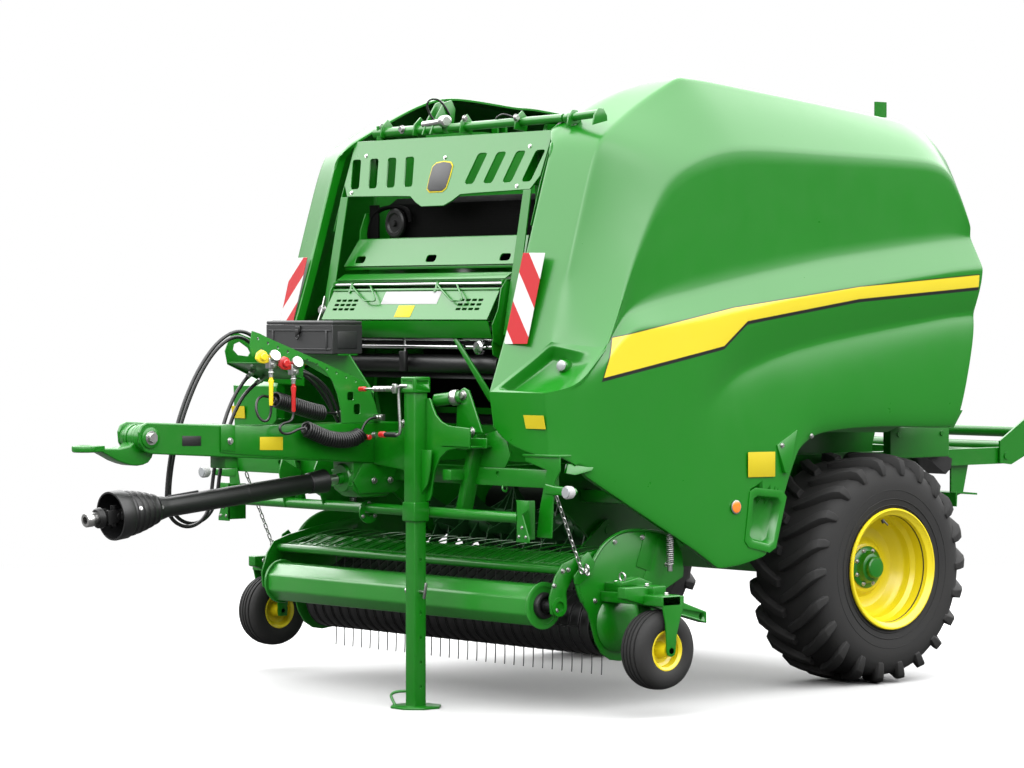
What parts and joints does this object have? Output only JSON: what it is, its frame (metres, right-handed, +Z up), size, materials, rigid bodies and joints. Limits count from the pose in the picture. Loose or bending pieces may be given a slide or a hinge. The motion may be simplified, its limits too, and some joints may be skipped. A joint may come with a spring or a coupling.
{
  "type": "towed round baler",
  "caption": "Towed round baler with a tined pickup, bale chamber with belts, hinged side hoods, curtain gate, drawbar and jack.",
  "frame": {"origin": "middle of the whole machine's outline, on the ground", "axes": "+Z up, forward along -Y, the machine's left side at +X"},
  "size_m": [3.132, 5.8, 3.005],
  "materials": {
    "green_paint": "glossy machine paint",
    "hood_paint": "glossy moulded panel",
    "tyre_rubber": "matt rubber",
    "rim_yellow": "glossy wheel paint",
    "black_plastic": "matt guard plastic",
    "dark_box": "moulded box",
    "belt_rubber": "woven-faced belt rubber",
    "hose_rubber": "smooth hose rubber",
    "zinc_steel": "zinc-plated steel",
    "spring_steel": "dark spring steel",
    "lamp_lens": "clear lamp lens"
  },
  "bodies": {
    "chassis": {"air_hose_red": "hose_rubber", "air_hose_yellow": "hose_rubber", "axle": "green_paint", "chamber_rollers": "green_paint", "chassis_rails": "green_paint", "cross_tubes": "green_paint", "drawbar": "green_paint", "front_belts": "belt_rubber", "front_crossmember": "green_paint", "front_lamps": "lamp_lens", "gearbox": "green_paint", "grille_panel": "green_paint", "guide_rods": "zinc_steel", "hitch_eye": "green_paint", "hood_hinges": "green_paint", "hose_couplings": "zinc_steel", "hose_rack": "green_paint", "hydraulic_hose_a": "hose_rubber", "hydraulic_hose_b": "hose_rubber", "jack_sleeve": "green_paint", "lift_chains": "zinc_steel", "net_box": "green_paint", "pickup_hangers": "green_paint", "pto_guard": "black_plastic", "rear_camera": "green_paint", "shelf_plate": "green_paint", "side_wall_left": "green_paint", "side_wall_right": "green_paint", "toolbox": "dark_box", "wheel_chock": "black_plastic"},
    "wheel_left": {"tyre_left": "tyre_rubber", "rim_left": "rim_yellow"},
    "wheel_right": {"tyre_right": "tyre_rubber", "rim_right": "rim_yellow"},
    "gauge_wheel_left": {"gauge_tyre_left": "tyre_rubber", "gauge_rim_left": "rim_yellow"},
    "gauge_wheel_right": {"gauge_tyre_right": "tyre_rubber", "gauge_rim_right": "rim_yellow"},
    "jack": {"jack_leg": "green_paint"},
    "drive_shaft": {"pto_shaft": "zinc_steel"},
    "rotor": {"feed_rotor": "spring_steel"},
    "gate": {"gate_frame": "green_paint", "gate_belts": "belt_rubber"},
    "cover": {"net_cover": "green_paint"},
    "lid": {"toolbox_lid": "dark_box"},
    "pickup": {"pickup_frame": "green_paint", "pickup_arms": "green_paint", "pickup_bands": "black_plastic", "gauge_bracket_left": "green_paint", "gauge_bracket_right": "green_paint"},
    "reel": {"pickup_reel": "spring_steel"},
    "guard": {"wind_guard": "green_paint", "guard_arms": "green_paint"},
    "roller": {"crop_roller": "green_paint"},
    "hood_l": {"hood_left": "hood_paint"},
    "hood_r": {"hood_right": "hood_paint"},
    "ramp": {"bale_ramp": "green_paint"}
  },
  "joints": [
    {"name": "wheel_left_spin", "type": "hinge", "parent": "chassis", "child": "wheel_left", "pos_m": [0.97, 1.2, 0.58], "axis": [1, 0, 0], "continuous": true},
    {"name": "wheel_right_spin", "type": "hinge", "parent": "chassis", "child": "wheel_right", "pos_m": [-0.97, 1.2, 0.58], "axis": [1, 0, 0], "continuous": true},
    {"name": "gauge_left_spin", "type": "hinge", "parent": "pickup", "child": "gauge_wheel_left", "pos_m": [1.471, -0.67, 0.31], "axis": [1, 0, 0], "continuous": true},
    {"name": "gauge_right_spin", "type": "hinge", "parent": "pickup", "child": "gauge_wheel_right", "pos_m": [-1.471, -0.67, 0.31], "axis": [1, 0, 0], "continuous": true},
    {"name": "jack_slide", "type": "slide", "parent": "chassis", "child": "jack", "axis": [0, 0, 1], "range_m": [0, 0.4]},
    {"name": "drive_shaft_spin", "type": "hinge", "parent": "chassis", "child": "drive_shaft", "pos_m": [0, -2.84, 0.925], "axis": [0, 0.995, 0.0995], "continuous": true},
    {"name": "feed_rotor_spin", "type": "hinge", "parent": "chassis", "child": "rotor", "pos_m": [0, -0.23, 0.81], "axis": [1, 0, 0], "continuous": true},
    {"name": "gate_swing", "type": "hinge", "parent": "chassis", "child": "gate", "pos_m": [0, 1.35, 2.54], "axis": [1, 0, 0], "range_deg": [0, 70]},
    {"name": "net_cover_hinge", "type": "hinge", "parent": "chassis", "child": "cover", "pos_m": [0, -0.894, 2.005], "axis": [-1, 0, 0], "range_deg": [0, 75]},
    {"name": "toolbox_lid_hinge", "type": "hinge", "parent": "chassis", "child": "lid", "pos_m": [-0.4825, -1.065, 1.808], "axis": [-1, 0, 0], "range_deg": [0, 70]},
    {"name": "pickup_lift", "type": "hinge", "parent": "chassis", "child": "pickup", "pos_m": [0, -0.23, 0.81], "axis": [-1, 0, 0], "range_deg": [-8, 5]},
    {"name": "reel_spin", "type": "hinge", "parent": "pickup", "child": "reel", "pos_m": [0, -0.6, 0.395], "axis": [1, 0, 0], "continuous": true},
    {"name": "wind_guard_lift", "type": "hinge", "parent": "pickup", "child": "guard", "pos_m": [0, -0.41, 0.77], "axis": [-1, 0, 0], "range_deg": [0, 12]},
    {"name": "crop_roller_spin", "type": "hinge", "parent": "guard", "child": "roller", "pos_m": [0, -0.96, 0.5], "axis": [1, 0, 0], "continuous": true},
    {"name": "hood_left_hinge", "type": "hinge", "parent": "chassis", "child": "hood_l", "pos_m": [0.662, 0.525, 2.85], "axis": [0, -1, 0], "range_deg": [0, 60]},
    {"name": "hood_right_hinge", "type": "hinge", "parent": "chassis", "child": "hood_r", "pos_m": [-0.662, 0.525, 2.85], "axis": [0, 1, 0], "range_deg": [0, 60]},
    {"name": "bale_ramp_tilt", "type": "hinge", "parent": "chassis", "child": "ramp", "pos_m": [0, 2.63, 1.098], "axis": [1, 0, 0], "range_deg": [-30, 0]}
  ]
}
